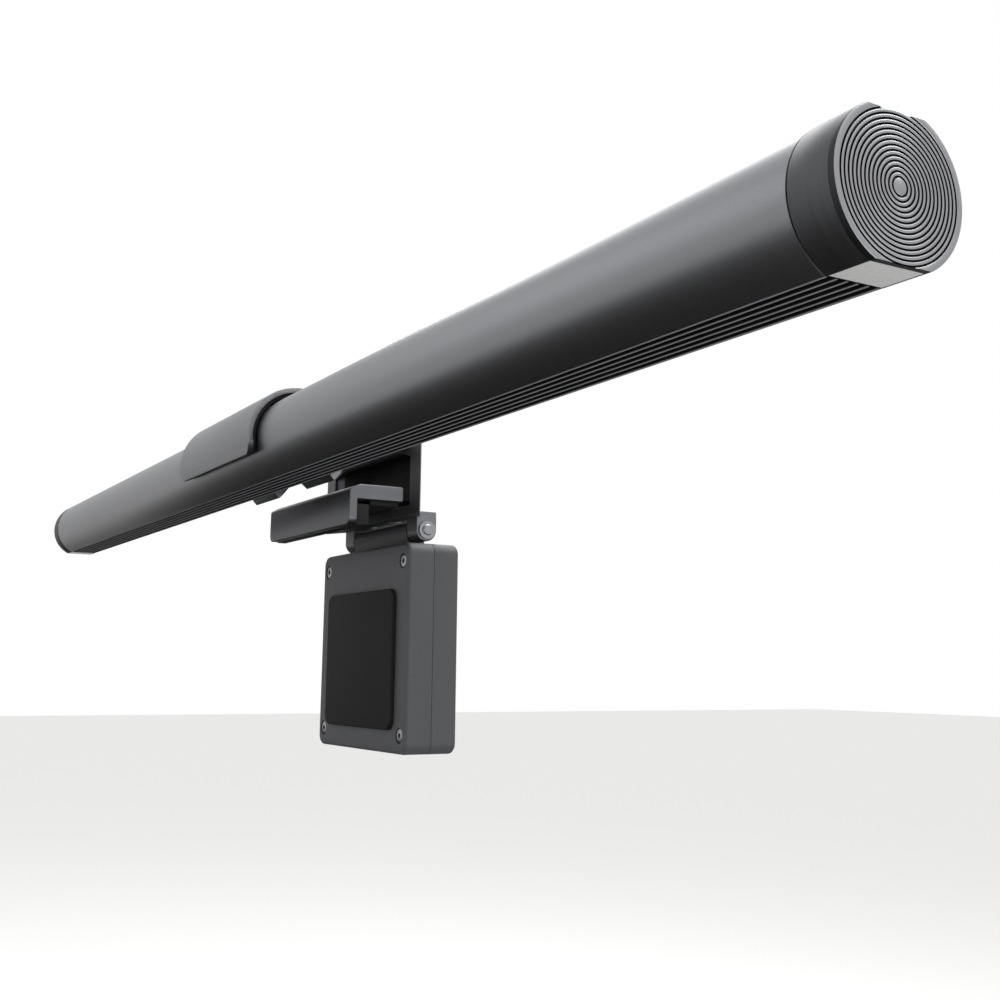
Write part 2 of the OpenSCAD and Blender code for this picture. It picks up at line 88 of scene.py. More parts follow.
# %% Pen, prism and turned shapes
ALONG_X = Matrix(((0, 0, 1, 0), (1, 0, 0, 0), (0, 1, 0, 0), (0, 0, 0, 1)))
ALONG_Y = Matrix(((1, 0, 0, 0), (0, 0, -1, 0), (0, 1, 0, 0), (0, 0, 0, 1)))
ALONG_Z = Matrix.Identity(4)
MERGE = 0.0005


def pen(bm, start, strokes, height=0.0):
    """Draws strokes in the XY plane: ("line", x, y) or ("arc", (cx, cy), degrees, steps)."""
    old = set(bm.verts)
    tip = bmesh.ops.create_vert(bm, co=(*start, height))["vert"][0]
    for kind, *how in strokes:
        if kind == "line":
            tip = bmesh.ops.extrude_vert_indiv(bm, verts=[tip])["verts"][0]
            tip.co = (*how, height)
        else:
            centre, turn, steps = how
            out = bmesh.ops.spin(bm, geom=[tip], cent=(*centre, height), axis=(0, 0, 1),
                                 angle=radians(turn), steps=steps)
            tip = [g for g in out["geom_last"] if isinstance(g, bmesh.types.BMVert)][0]
    drawn = [v for v in bm.verts if v not in old]
    bmesh.ops.remove_doubles(bm, verts=drawn, dist=MERGE)
    return [v for v in bm.verts if v not in old]


def prism(start, strokes, low, high, turn=ALONG_X, move=(0, 0, 0)):
    """A closed outline pulled from low to high along the turned axis."""
    bm = bmesh.new()
    pen(bm, start, strokes, low)
    face = bmesh.ops.contextual_create(bm, geom=bm.edges[:])["faces"][0]
    pulled = bmesh.ops.extrude_face_region(bm, geom=[face])["geom"]
    tops = [g for g in pulled if isinstance(g, bmesh.types.BMVert)]
    bmesh.ops.translate(bm, verts=tops, vec=(0, 0, high - low))
    bmesh.ops.transform(bm, matrix=Matrix.Translation(move) @ turn, verts=bm.verts)
    bmesh.ops.recalc_face_normals(bm, faces=bm.faces)
    return bm


def circle(radius, steps=48, centre=(0, 0)):
    """Start and strokes of a full circle."""
    return (centre[0] + radius, centre[1]), [("arc", centre, 360, steps)]


def rectangle(x0, y0, x1, y1):
    """Start and strokes of a rectangle."""
    return (x0, y0), [("line", x1, y0), ("line", x1, y1), ("line", x0, y1), ("line", x0, y0)]


def block(low, high):
    """A box between two corners."""
    return prism(*rectangle(low[0], low[1], high[0], high[1]), low[2], high[2], ALONG_Z)


def rod(radius, low, high, move=AXIS, steps=48):
    """A round bar along X."""
    return prism(*circle(radius, steps), low, high, ALONG_X, move)


def pin_y(radius, x, z, near, far):
    """A round bar along Y."""
    return prism(*circle(radius, 32, (x, z)), -far, -near, ALONG_Y)


def pin_z(radius, x, y, low, high):
    """A round bar along Z."""
    return prism(*circle(radius, 32, (x, y)), low, high, ALONG_Z)


def turned(start, strokes, steps=96, turn=ALONG_Z, move=(0, 0, 0)):
    """A profile of (place along the axis, radius) spun about X into a closed solid."""
    bm = bmesh.new()
    pen(bm, start, strokes)
    bmesh.ops.spin(bm, geom=bm.verts[:] + bm.edges[:], cent=(0, 0, 0), axis=(1, 0, 0),
                   angle=2 * pi, steps=steps, use_merge=True)
    bmesh.ops.remove_doubles(bm, verts=bm.verts, dist=MERGE)
    bmesh.ops.transform(bm, matrix=Matrix.Translation(move) @ turn, verts=bm.verts)
    bmesh.ops.recalc_face_normals(bm, faces=bm.faces)
    return bm


# %% [markdown]
# Real edges are never perfectly sharp: a small round catches the light and shows
# the shape. The bevel is made before holes are cut where the surface is curved,
# because a clean outline bevels cleanly. Holes and joins are booleans between
# closed shapes, applied at once, so nothing is left live on the piece.
#
# Faces that meet below the angle SHARP are shaded as one. The neck has wide flat
# faces that meet at 26 degrees, and it takes the smaller angle FOLD to stay crisp.

# %% Bevel, join and cut
SHARP = radians(32)
FOLD = radians(12)


def soften(bm, width, segments=2, chosen=None):
    """Rounds the sharp edges, or only those that chosen(edge) accepts."""
    edges = [e for e in bm.edges if len(e.link_faces) == 2 and e.calc_face_angle(0) > SHARP]
    if chosen:
        edges = [e for e in edges if chosen(e)]
    bmesh.ops.bevel(bm, geom=edges, offset=width, offset_type="OFFSET", affect="EDGES",
                    segments=segments, profile=0.5, material=-1, clamp_overlap=True)
    return bm


def loose_object(bm):
    """A bmesh as an object, for a boolean."""
    bmesh.ops.recalc_face_normals(bm, faces=bm.faces)
    mesh = bpy.data.meshes.new("tool")
    bm.to_mesh(mesh)
    bm.free()
    thing = bpy.data.objects.new("tool", mesh)
    bpy.context.scene.collection.objects.link(thing)
    return thing


def carve(bm, tools, how="DIFFERENCE"):
    """Cuts closed tools from a closed shape, or joins them to it."""
    things = [loose_object(bm)] + [loose_object(tool) for tool in tools]
    for thing in things[1:]:
        step = things[0].modifiers.new("carve", "BOOLEAN")
        step.operation = how
        step.solver = "EXACT"
        step.object = thing
    graph = bpy.context.evaluated_depsgraph_get()
    mesh = bpy.data.meshes.new_from_object(things[0].evaluated_get(graph))
    result = bmesh.new()
    result.from_mesh(mesh)
    bpy.data.meshes.remove(mesh)
    for thing in things:
        old = thing.data
        bpy.data.objects.remove(thing)
        bpy.data.meshes.remove(old)
    bmesh.ops.remove_doubles(result, verts=result.verts, dist=MERGE)
    return result


def together(*shapes):
    """Several closed shapes as one mesh."""
    whole = bmesh.new()
    for shape in shapes:
        mesh = bpy.data.meshes.new("part")
        shape.to_mesh(mesh)
        shape.free()
        whole.from_mesh(mesh)
        bpy.data.meshes.remove(mesh)
    return whole


def mirrored(bm):
    """The same piece for the other end of the bar."""
    other = bm.copy()
    bmesh.ops.scale(other, vec=(-1, 1, 1), verts=other.verts)
    bmesh.ops.reverse_faces(other, faces=other.faces)
    return other


def piece(name, bm, body, slot, node, *materials, fold=SHARP):
    """Turns a bmesh in millimetres into a finished piece on its body."""
    for face in bm.faces:
        face.smooth = True
    for edge in bm.edges:
        edge.smooth = len(edge.link_faces) == 2 and edge.calc_face_angle(0) < fold
    bmesh.ops.scale(bm, vec=(MM, MM, MM), verts=bm.verts)
    mesh = bpy.data.meshes.new(name)
    bm.to_mesh(mesh)
    print(name, "faces", len(bm.faces), "open edges", sum(not e.is_manifold for e in bm.edges))
    bm.free()
    made = bpy.data.objects.new(name, mesh)
    bpy.context.scene.collection.objects.link(made)
    for material in materials:
        mesh.materials.append(material)
    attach(made, body)
    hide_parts(node)
    return made


# %% [markdown]
# A material starts from what the real surface is. One helper turns a hex colour
# into linear values, and one adds any node with its settings and links. Patterns
# read Object coordinates in metres, so a noise scale of 1 / size gives grains of
# a real size.

# %% Material helpers
def linear(code):
    """An sRGB hex colour as linear RGBA."""
    parts = [int(code[i:i + 2], 16) / 255 for i in (1, 3, 5)]
    return tuple(p / 12.92 if p <= 0.04045 else ((p + 0.055) / 1.055) ** 2.4 for p in parts) + (1.0,)


def add(tree, kind, inputs=None, **settings):
    """Adds a node: settings are its properties, inputs are values or sockets to link."""
    node = tree.nodes.new(kind)
    for name, value in settings.items():
        setattr(node, name, value)
    for name, value in (inputs or {}).items():
        if isinstance(value, bpy.types.NodeSocket):
            tree.links.new(value, node.inputs[name])
        else:
            node.inputs[name].default_value = value
    return node


def surface(name, dark, light, grain_mm, rough, metal=0.0, stretch=(1, 1, 1), height=0.02,
            detail=3.0, blend=(0.35, 0.65), extra=None):
    """A finish with two close colours, a grain of real size, and the same grain in its relief."""
    made = bpy.data.materials.new(name)
    made.use_nodes = True
    tree = made.node_tree
    shader = tree.nodes["Principled BSDF"]
    place = add(tree, "ShaderNodeTexCoord")
    size = add(tree, "ShaderNodeMapping", {"Vector": place.outputs["Object"], "Scale": stretch})
    grain = add(tree, "ShaderNodeTexNoise", {"Vector": size.outputs["Vector"], "Scale": 1 / (grain_mm * MM),
                                             "Detail": detail, "Roughness": 0.6})
    tint = add(tree, "ShaderNodeValToRGB", {"Fac": grain.outputs["Fac"]})
    tint.color_ramp.elements[0].position = blend[0]
    tint.color_ramp.elements[1].position = blend[1]
    tint.color_ramp.elements[0].color = linear(dark)
    tint.color_ramp.elements[1].color = linear(light)
    gloss = add(tree, "ShaderNodeMapRange", {"Value": grain.outputs["Fac"], "From Min": 0.3, "From Max": 0.7,
                                             "To Min": rough[0], "To Max": rough[1]})
    relief = add(tree, "ShaderNodeBump", {"Height": grain.outputs["Fac"], "Strength": 0.6,
                                          "Distance": height * MM})
    tree.links.new(tint.outputs["Color"], shader.inputs["Base Color"])
    tree.links.new(gloss.outputs["Result"], shader.inputs["Roughness"])
    tree.links.new(relief.outputs["Normal"], shader.inputs["Normal"])
    shader.inputs["Metallic"].default_value = metal
    for socket, value in (extra or {}).items():
        shader.inputs[socket].default_value = value
    return made


# %% [markdown]
# The tube, saddle, neck and hook are aluminium. Extruding leaves faint lines
# along the bar, and anodising leaves a satin skin, dark grey on this lamp. The
# turned discs and caps are cut on a lathe, so their lines run round the axis:
# there the grain is squeezed along X and long round it.

# %% Metal finishes
# Blasting grit and tool marks are finer than 0.1 mm. They are drawn at 0.15 mm and
# more, which is as coarse as they need to be to show.

# Satin: the fine blast spreads a reflection into one soft band along the tube.
tube_anodised = surface("Anodised aluminium extruded and blasted", "#8f9093", "#959699", 0.16,
                        (0.38, 0.42), 1.0, (0.5, 1, 1), 0.003, 1.5)
# Brushed: hairlines run along the bar, so the band looks drawn out.
saddle_anodised = surface("Anodised aluminium brushed along the bar", "#86878a", "#939497", 0.35,
                          (0.4, 0.48), 1.0, (0.03, 1, 1), 0.004, 3.0)
# Bead blasted: duller and even from every side, without a grain direction.
neck_anodised = surface("Anodised aluminium bead blasted", "#7b7c7f", "#87888b", 0.25,
                        (0.46, 0.56), 1.0, (1, 1, 1), 0.006)
hook_anodised = surface("Anodised aluminium bead blasted, hook", "#6c6d70", "#78797c", 0.25,
                        (0.42, 0.52), 1.0, (1, 1, 1), 0.006)
# Turned and dyed darker: faint lines run round the cap.
cap_turned = surface("Anodised aluminium cap, turned", "#5a5b5d", "#666769", 0.16,
                     (0.5, 0.6), 1.0, (1, 0.03, 0.03), 0.004)
# Bright cut: the crests flash where they face a light.
disc_turned = surface("Anodised aluminium disc, diamond turned", "#a2a3a6", "#adaeb1", 0.2,
                      (0.3, 0.38), 1.0, (1, 1, 1), 0.002)
# The tool cuts the crests bright, and leaves the dyed skin on the rim. The grooves are painted near black as
# shade.
groove_painted_shade = surface("Anodised aluminium, painted shade in the grooves", "#141415", "#1c1c1e", 0.2,
                       (0.5, 0.6), 1.0, (1, 1, 1), 0.002)
rim_dark = surface("Anodised aluminium disc edge, dark", "#3c3d3f", "#454648", 0.2,
                   (0.5, 0.6), 1.0, (1, 0.05, 0.05), 0.003)
# Plain fastener metals: the small bright points beside the grey.
steel = surface("Bright steel, turned", "#9a9c9f", "#b4b6b9", 0.15, (0.25, 0.38), 1.0, (1, 1, 1), 0.003)
weight_steel = surface("Mild steel, cut and zinc plated", "#7c7e80", "#8f9193", 1.5,
                       (0.35, 0.5), 1.0, (1, 1, 1), 0.01)
brass = surface("Brass pins, tin plated", "#c0a050", "#d2b25e", 0.2, (0.25, 0.35), 1.0, (1, 1, 1), 0.002)
print("finishes so far:", len(bpy.data.materials))

# %% [markdown]
# Moulded plastics and rubbers: a spark eroded mould leaves a fine even grain,
# rubber is duller with a softer grain, and the light's lens is smooth and dark.
# The plates under the caps have a pale powder coat with a fine speckle. Each
# plastic has the refractive index of its own kind, which sets how much its
# surface mirrors at a flat angle.

# %% Plastic, rubber and board finishes
ABS_IOR = 1.54
ACRYLIC_IOR = 1.49
POLYCARBONATE_IOR = 1.58
SILICONE_IOR = 1.41
EPOXY_IOR = 1.55
# Pale and dull, with a speckle of fine powder grains.
plate_speckled = surface("Powder coat on the cap plates, pale and speckled", "#8e8e8e", "#a2a2a2", 0.16,
                         (0.5, 0.62), 0.0, (1, 1, 1), 0.008, 2.0, (0.35, 0.65))
# Moulded: an even, very fine grain takes the shine off flat faces.
abs_grey = surface("ABS moulded with a fine spark grain", "#3b3c3f", "#444548", 0.3,
                   (0.5, 0.62), 0.0, (1, 1, 1), 0.02, extra={"IOR": ABS_IOR})
# Matt black for the faces inside the cap seam: painted shade.
seam_shade_black = surface("Matt black, painted shade inside the cap seam", "#0b0b0c", "#121213", 0.25, (0.5, 0.62), 0.0,
                    (1, 1, 1), 0.012, extra={"IOR": ABS_IOR})
pocket_black = surface("ABS tub, matt black", "#0b0b0c", "#111112", 0.3, (0.6, 0.7), 0.0,
                       (1, 1, 1), 0.012, extra={"IOR": ABS_IOR})
# Rubber: the dullest surface here, nearly black from every side.
silicone = surface("Silicone rubber moulded with a matt skin", "#0c0c0d", "#141415", 0.2,
                   (0.66, 0.8), 0.0, (1, 1, 1), 0.02, extra={"IOR": SILICONE_IOR})
# Inside the slot: a glossy dark lens, a white reflector and the boards.
lens_smoked = surface("Acrylic lens, smoked", "#1c1d1f", "#232427", 0.5, (0.12, 0.2), 0.0,
                      (1, 1, 1), 0.001, extra={"IOR": ACRYLIC_IOR})
white_paint = surface("Polycarbonate reflector, moulded white", "#ecece8", "#f6f6f2", 0.5,
                      (0.35, 0.5), 0.0, (1, 1, 1), 0.004, extra={"IOR": POLYCARBONATE_IOR})
board_white = surface("Circuit board with white solder mask", "#dcded8", "#e8eae4", 0.4,
                      (0.35, 0.45), 0.0, (1, 1, 1), 0.003, extra={"IOR": EPOXY_IOR})
board_green = surface("Circuit board with green solder mask", "#1a5d34", "#23703f", 0.4,
                      (0.3, 0.42), 0.0, (1, 1, 1), 0.003, extra={"IOR": EPOXY_IOR})
chip_warm = surface("Light chip, warm phosphor in silicone", "#dfa24c", "#ecb863", 0.15,
                    (0.3, 0.4), 0.0, (1, 1, 1), 0.003, extra={"IOR": SILICONE_IOR})
chip_cool = surface("Light chip, cool phosphor in silicone", "#e9df7e", "#f5ec97", 0.15,
                    (0.3, 0.4), 0.0, (1, 1, 1), 0.003, extra={"IOR": SILICONE_IOR})
epoxy_black = surface("Epoxy packages, moulded", "#202024", "#2b2b2f", 0.2, (0.45, 0.6), 0.0,
                      (1, 1, 1), 0.006, extra={"IOR": EPOXY_IOR})
print("finishes so far:", len(bpy.data.materials))

# %% [markdown]
# The louvre is black, and each rib's lowest edge carries a painted highlight: a
# lighter tint for the light the thin edges catch. A ramp along Z keeps that tint
# to the lowest part of each rib, and leaves the grooves black.

# %% Louvre finish
louvre_black = surface("ABS louvre, moulded black with burnished rib edges", "#09090a", "#0e0e0f", 0.25,
                       (0.45, 0.6), 0.0, (1, 1, 1), 0.01, extra={"Specular IOR Level": 0.2})
louvre_low, louvre_high = box_mm("louvre_strip")
HIGHLIGHT_FULL = 0.03
HIGHLIGHT_FADED = 0.12
tree = louvre_black.node_tree
where = add(tree, "ShaderNodeSeparateXYZ", {"Vector": add(tree, "ShaderNodeTexCoord").outputs["Object"]})
# The ramp paints a highlight on the lowest part of each rib, where the thin edges catch light.
edge = add(tree, "ShaderNodeMapRange",
           {"Value": where.outputs["Z"], "From Min": (louvre_low.z + HIGHLIGHT_FULL) * MM,
            "From Max": (louvre_low.z + HIGHLIGHT_FADED) * MM, "To Min": 1.0, "To Max": 0.0})
base = tree.nodes["Principled BSDF"].inputs["Base Color"]
grain_colour = base.links[0].from_socket
A_COLOUR, B_COLOUR, MIXED_COLOUR = 6, 7, 2
mix = add(tree, "ShaderNodeMix", data_type="RGBA")
tree.links.new(edge.outputs["Result"], mix.inputs["Factor"])
tree.links.new(grain_colour, mix.inputs[A_COLOUR])
# The colour of the painted highlight on the rib edges.
mix.inputs[B_COLOUR].default_value = linear("#5a5b5d")
tree.links.new(mix.outputs[MIXED_COLOUR], base)
print("painted highlight on the ribs over the lowest", HIGHLIGHT_FADED, "mm")

# %% [markdown]
# The tube is one extrusion: a round wall, open below for the light, with two
# screw channels inside. Its outline is drawn once and pulled the whole length.
# The ends and the slot's lips get a small round, and a round-ended slot behind
# lets the cable's plug reach its socket.

# %% Tube
WALL = 1.3
SLOT_HALF = 4.8
bore_r = tube_r - WALL
outer_cut = degrees(asin(SLOT_HALF / tube_r))
inner_cut = degrees(asin(SLOT_HALF / bore_r))
outer_z = -sqrt(tube_r ** 2 - SLOT_HALF ** 2)
inner_z = -sqrt(bore_r ** 2 - SLOT_HALF ** 2)
tube = prism((SLOT_HALF, outer_z),
             [("arc", (0, 0), 360 - 2 * outer_cut, 144), ("line", -SLOT_HALF, inner_z),
              ("arc", (0, 0), -(360 - 2 * inner_cut), 120), ("line", SLOT_HALF, outer_z)],
             -body_x, body_x, ALONG_X, AXIS)
soften(tube, 0.07)
CHANNEL = (4.1, 7.1)
CHANNEL_R = 1.7
THREAD_R = 1.1
PLUG_WAY = (9.14, 3.46)
channel_places = [AXIS + Vector((0, side * CHANNEL[0], CHANNEL[1])) for side in (-1, 1)]
tube = carve(tube, [rod(CHANNEL_R, -body_x + 0.3, body_x - 0.3, place) for place in channel_places], "UNION")
INLET_TILT = radians(-10)
socket_turn = Matrix.Translation(AXIS) @ Matrix.Rotation(INLET_TILT, 4, "X")


def round_slot(width, height, near, far):
    """A slot with round ends, pulled from near to far behind the tube's axis."""
    half = (width - height) / 2
    shape = prism((-half, -height / 2), [("line", half, -height / 2), ("arc", (half, 0), 180, 20),
                                         ("line", -half, height / 2), ("arc", (-half, 0), 180, 20)],
                  -far, -near, ALONG_Y)
    bmesh.ops.transform(shape, matrix=socket_turn, verts=shape.verts)
    return shape


tube = carve(tube, [rod(THREAD_R, -body_x - 1, body_x + 1, place) for place in channel_places]
             + [round_slot(*PLUG_WAY, 0, tube_r + 1)])
piece("lamp_tube", tube, "lamp", "tube_anodised", "tube", tube_anodised)

# %% [markdown]
# Below the slot sits a moulded louvre: six thin ribs run the whole length and
# keep the light off the screen, with nine cross ties along them to keep them
# straight. Each rib has rounded edges, as a mould leaves them.

# %% Louvre
RIBS = 6
RIB_PITCH = 1.8
RIB_T = 0.5
TIES = 8
TIE_W = 2
louvre_bits = []
for i in range(RIBS):
    rib_y = axis_y + (i - (RIBS - 1) / 2) * RIB_PITCH
    louvre_bits.append(soften(block((louvre_low.x, rib_y - RIB_T / 2, louvre_low.z),
                                    (louvre_high.x, rib_y + RIB_T / 2, louvre_high.z)), 0.12))
for i in range(TIES + 1):
    tie_x = louvre_low.x + i * (louvre_high.x - louvre_low.x - TIE_W) / TIES
    louvre_bits.append(soften(block((tie_x, louvre_low.y, louvre_low.z + 0.8),
                                    (tie_x + TIE_W, louvre_high.y, louvre_high.z - 0.01)), 0.15))
piece("louvre", together(*louvre_bits), "lamp", "louvre_black", "louvre_strip", louvre_black)

# %% [markdown]
# An end cap is turned and then milled flat above and below. A hollow plug behind
# it fits in the tube, and a recess in the lower flat takes the pale plate. A
# hair-wide gap is left between cap and tube, and the faces inside it are painted
# matt black as shade, so the seam shows as a dark line.

# %% End caps
FLAT_Z = -9.8
TOP_FLAT = 9.6
SEAM = 0.25
SEAM_STEP = 0.3
PLATE_HALF = 4.6
PLATE_DEEP = 0.8
CLEAR_R = 1.3
CAP_HEAD_R = 2.1
CAP_HEAD_DEEP = 1.8
cap_x0 = body_x
cap_x1 = box_mm("end_cap_right")[1].x
flat_half = sqrt(tube_r ** 2 - FLAT_Z ** 2)
top_half = sqrt(tube_r ** 2 - TOP_FLAT ** 2)
side_turn = 180 - degrees(asin(flat_half / tube_r)) - degrees(asin(top_half / tube_r))
cap = prism((flat_half, FLAT_Z), [("arc", (0, 0), side_turn, 72), ("line", -top_half, TOP_FLAT),
                                  ("arc", (0, 0), side_turn, 72), ("line", flat_half, FLAT_Z)],
            cap_x0 + SEAM, cap_x1, ALONG_X, AXIS)
soften(cap, 0.06)
PLUG_WALL = 1.6
PLUG_CUT = -3.6
PLUG_LENGTH = 8
plug_r = bore_r - 0.1
plug_in = plug_r - PLUG_WALL
plug = prism((sqrt(plug_r ** 2 - PLUG_CUT ** 2), PLUG_CUT),
             [("arc", (0, 0), 180 + 2 * degrees(asin(-PLUG_CUT / plug_r)), 72),
              ("line", -sqrt(plug_in ** 2 - PLUG_CUT ** 2), PLUG_CUT),
              ("arc", (0, 0), -(180 + 2 * degrees(asin(-PLUG_CUT / plug_in))), 64),
              ("line", sqrt(plug_r ** 2 - PLUG_CUT ** 2), PLUG_CUT)],
             cap_x0 - PLUG_LENGTH, cap_x0 + 0.5, ALONG_X, AXIS)
spacer = rod(tube_r - SEAM_STEP, cap_x0 + 0.02, cap_x0 + SEAM + 0.1, AXIS, 96)
spacer = carve(spacer, [block((cap_x0 - 1, axis_y - 15, axis_z + low), (cap_x1, axis_y + 15, axis_z + high))
                        for low, high in ((-20, FLAT_Z + SEAM_STEP), (TOP_FLAT - SEAM_STEP, 20))])
cap = carve(cap, [plug, spacer], "UNION")
cap = carve(cap, [block((cap_x0 + 0.3, axis_y - PLATE_HALF, axis_z - tube_r - 1),
                        (cap_x1 + 1, axis_y + PLATE_HALF, axis_z + FLAT_Z + PLATE_DEEP))]
            + [rod(CHANNEL_R + 0.15, cap_x0 - PLUG_LENGTH - 1, cap_x0, place) for place in channel_places]
            + [rod(CLEAR_R, cap_x0 - 0.1, cap_x1 + 1, place) for place in channel_places]
            + [rod(CAP_HEAD_R, cap_x1 - CAP_HEAD_DEEP, cap_x1 + 1, place) for place in channel_places])
# Faces inside the seam get the matt black finish, which paints the shade in the gap.
CAP_SEAM_SHADE_SLOT = 1
for face in cap.faces:
    centre = face.calc_center_median()
    if cap_x0 < centre.x < cap_x0 + SEAM + 0.01:
        face.material_index = CAP_SEAM_SHADE_SLOT
piece("end_cap_piece_left", mirrored(cap), "lamp", "cap_black", "end_cap_left", cap_turned, seam_shade_black)
piece("end_cap_piece_right", cap, "lamp", "cap_black", "end_cap_right", cap_turned, seam_shade_black)

# %% [markdown]
# The disc on each end shows how it was made: the tool has left fourteen fine
# grooves with a rounded crest between each pair, and each crest draws a bright
# arc. The profile is drawn from the middle outwards, spun about the bar's axis,
# and sliced flat above and below.

# %% End discs
RINGS = 14
RING_PITCH = 0.66
RING_R0 = 1.24
GROOVE_HALF = 0.15
GROOVE_DEPTH = 0.25
CREST = 0.045
CREST_HALF = 0.09
EDGE = 0.09
RIM_SLOT, GROOVE_SHADE_SLOT = 1, 2
disc_x1 = box_mm("end_disc_right")[1].x
disc_t = disc_x1 - cap_x1
profile = [("line", disc_t, RING_R0 - GROOVE_HALF - 0.1), ("line", disc_t - CREST, RING_R0 - GROOVE_HALF)]
for i in range(RINGS):
    r = RING_R0 + i * RING_PITCH
    profile += [("line", disc_t - GROOVE_DEPTH, r - GROOVE_HALF + 0.05),
                ("line", disc_t - GROOVE_DEPTH, r + GROOVE_HALF - 0.05),
                ("line", disc_t - CREST, r + GROOVE_HALF)]
    if i < RINGS - 1:
        middle = r + RING_PITCH / 2
        profile += [("line", disc_t - CREST / 4, middle - CREST_HALF), ("line", disc_t, middle),
                    ("line", disc_t - CREST / 4, middle + CREST_HALF),
                    ("line", disc_t - CREST, r + RING_PITCH - GROOVE_HALF)]
profile += [("line", disc_t, r + GROOVE_HALF + 0.08), ("line", disc_t, tube_r - EDGE),
            ("line", disc_t - EDGE / 3, tube_r - EDGE / 3), ("line", disc_t - EDGE, tube_r),
            ("line", 0, tube_r), ("line", 0, 0)]
disc = turned((disc_t, 0), profile, 144, ALONG_Z, AXIS + Vector((cap_x1, 0, 0)))
for height, up in ((TOP_FLAT, 1), (FLAT_Z, -1)):
    cut = bmesh.ops.bisect_plane(disc, geom=disc.verts[:] + disc.edges[:] + disc.faces[:], dist=0.0001,
                                 plane_co=AXIS + Vector((0, 0, height)), plane_no=(0, 0, up),
                                 clear_outer=True)
    rim = [g for g in cut["geom_cut"] if isinstance(g, bmesh.types.BMEdge)]
    bmesh.ops.holes_fill(disc, edges=rim, sides=0)
bmesh.ops.recalc_face_normals(disc, faces=disc.faces)
# The rim and flats get the dark cap finish. Faces deep in the grooves get near black, which is painted shade.
for face in disc.faces:
    centre = face.calc_center_median() - AXIS
    edgewise = Vector((centre.y, centre.z)).length > tube_r - 0.06 or abs(face.normal.z) > 0.99
    if edgewise and abs(face.normal.x) < 0.5:
        face.material_index = RIM_SLOT
    elif centre.x < disc_x1 - GROOVE_DEPTH / 3:
        face.material_index = GROOVE_SHADE_SLOT
disc_finishes = (disc_turned, rim_dark, groove_painted_shade)
piece("end_disc_piece_left", mirrored(disc), "lamp", "disc_turned", "end_disc_left", *disc_finishes)
piece("end_disc_piece_right", disc, "lamp", "disc_turned", "end_disc_right", *disc_finishes)

# %% [markdown]
# The pale plates fill the recess in each cap's flat. They are thin stamped
# plates, so a box with rounded edges is their true shape.

# %% Cap plates
plate_low, plate_high = box_mm("cap_plate_right")
plate = soften(block(plate_low, plate_high), 0.1)
piece("cap_plate_piece_left", mirrored(plate), "lamp", "plate_pale", "cap_plate_left", plate_speckled)
piece("cap_plate_piece_right", plate, "lamp", "plate_pale", "cap_plate_right", plate_speckled)

# %% [markdown]
# The saddle is an open ring of sheet that springs round the tube. Its wall grows
# from 1.4 mm at the front edge to 2 mm at the rear, so the outer arc has its own
# centre. A notch in the rear edge lets the plug in, and the front corners are
# round. A black liner inside grips the tube.

# %% Saddle and liner
FRONT_DEG = 201
REAR_DEG = -44
CLIP_R = tube_r + 1.1
OUTER_R = 13.7
LEAN = 0.3
NOTCH_R = 11.2
NOTCH_HALF = 8
NOTCH_TOP = 2.0
ARCH_Z = -13
CORNER = 4
SADDLE_SCREW_X = (-17.5, 17.5)
ARM_SCREW_Z = 18.8
SADDLE_HEAD_R = 2.3
SADDLE_SEAT = 12.4


def polar(radius, angle):
    """A point at a radius and an angle in degrees."""
    return radius * cos(radians(angle)), radius * sin(radians(angle))


def notch():
    """The way for the plug, cut through the saddle's rear half."""
    side_z = ARCH_Z + sqrt(NOTCH_R ** 2 - NOTCH_HALF ** 2)
    bend = degrees(asin((side_z - ARCH_Z) / NOTCH_R))
    return prism((-NOTCH_HALF, NOTCH_TOP), [("line", NOTCH_HALF, NOTCH_TOP), ("line", NOTCH_HALF, side_z),
                                            ("arc", (0, ARCH_Z), -bend, 24), ("line", -NOTCH_R, ARCH_Z),
                                            ("arc", (0, ARCH_Z), -bend, 24),
                                            ("line", -NOTCH_HALF, NOTCH_TOP)],
                 -20, 0, ALONG_Y, AXIS)


def corner(half, side):
    """Rounds one front corner."""
    inside = half - CORNER
    tool = prism((inside, -1), [("line", half + 1, -1), ("line", half + 1, CORNER),
                                ("line", half + 0.06, CORNER), ("arc", (inside, CORNER), -90, 20),
                                ("line", inside, -1)], 0, 20, ALONG_Y)
    turn = Matrix.Translation(AXIS) @ Matrix.Rotation(radians(FRONT_DEG - 180), 4, "X")
    bmesh.ops.transform(tool, matrix=turn @ Matrix.Scale(side, 4, (1, 0, 0)), verts=tool.verts)
    bmesh.ops.recalc_face_normals(tool, faces=tool.faces)
    return tool


def open_ring(inner, outer, lean, half, width):
    """A ring sector along X with its outer arc's centre moved towards the rear edge."""
    shift = Vector(polar(lean, REAR_DEG))
    ray = Vector(polar(1, FRONT_DEG))
    along = ray.dot(shift)
    reach = along + sqrt(along ** 2 - lean ** 2 + outer ** 2)
    end = ray * reach - shift
    swing = degrees(atan2(end.y, end.x)) % 360 - REAR_DEG
    ring = prism(polar(inner, FRONT_DEG),
                 [("arc", (0, 0), REAR_DEG - FRONT_DEG, 110), ("line", *polar(outer + lean, REAR_DEG)),
                  ("arc", tuple(shift), swing, 120), ("line", *polar(inner, FRONT_DEG))],
                 -half, half, ALONG_X, AXIS)
    soften(ring, width, 3)
    return carve(ring, [notch(), corner(half, -1), corner(half, 1)])


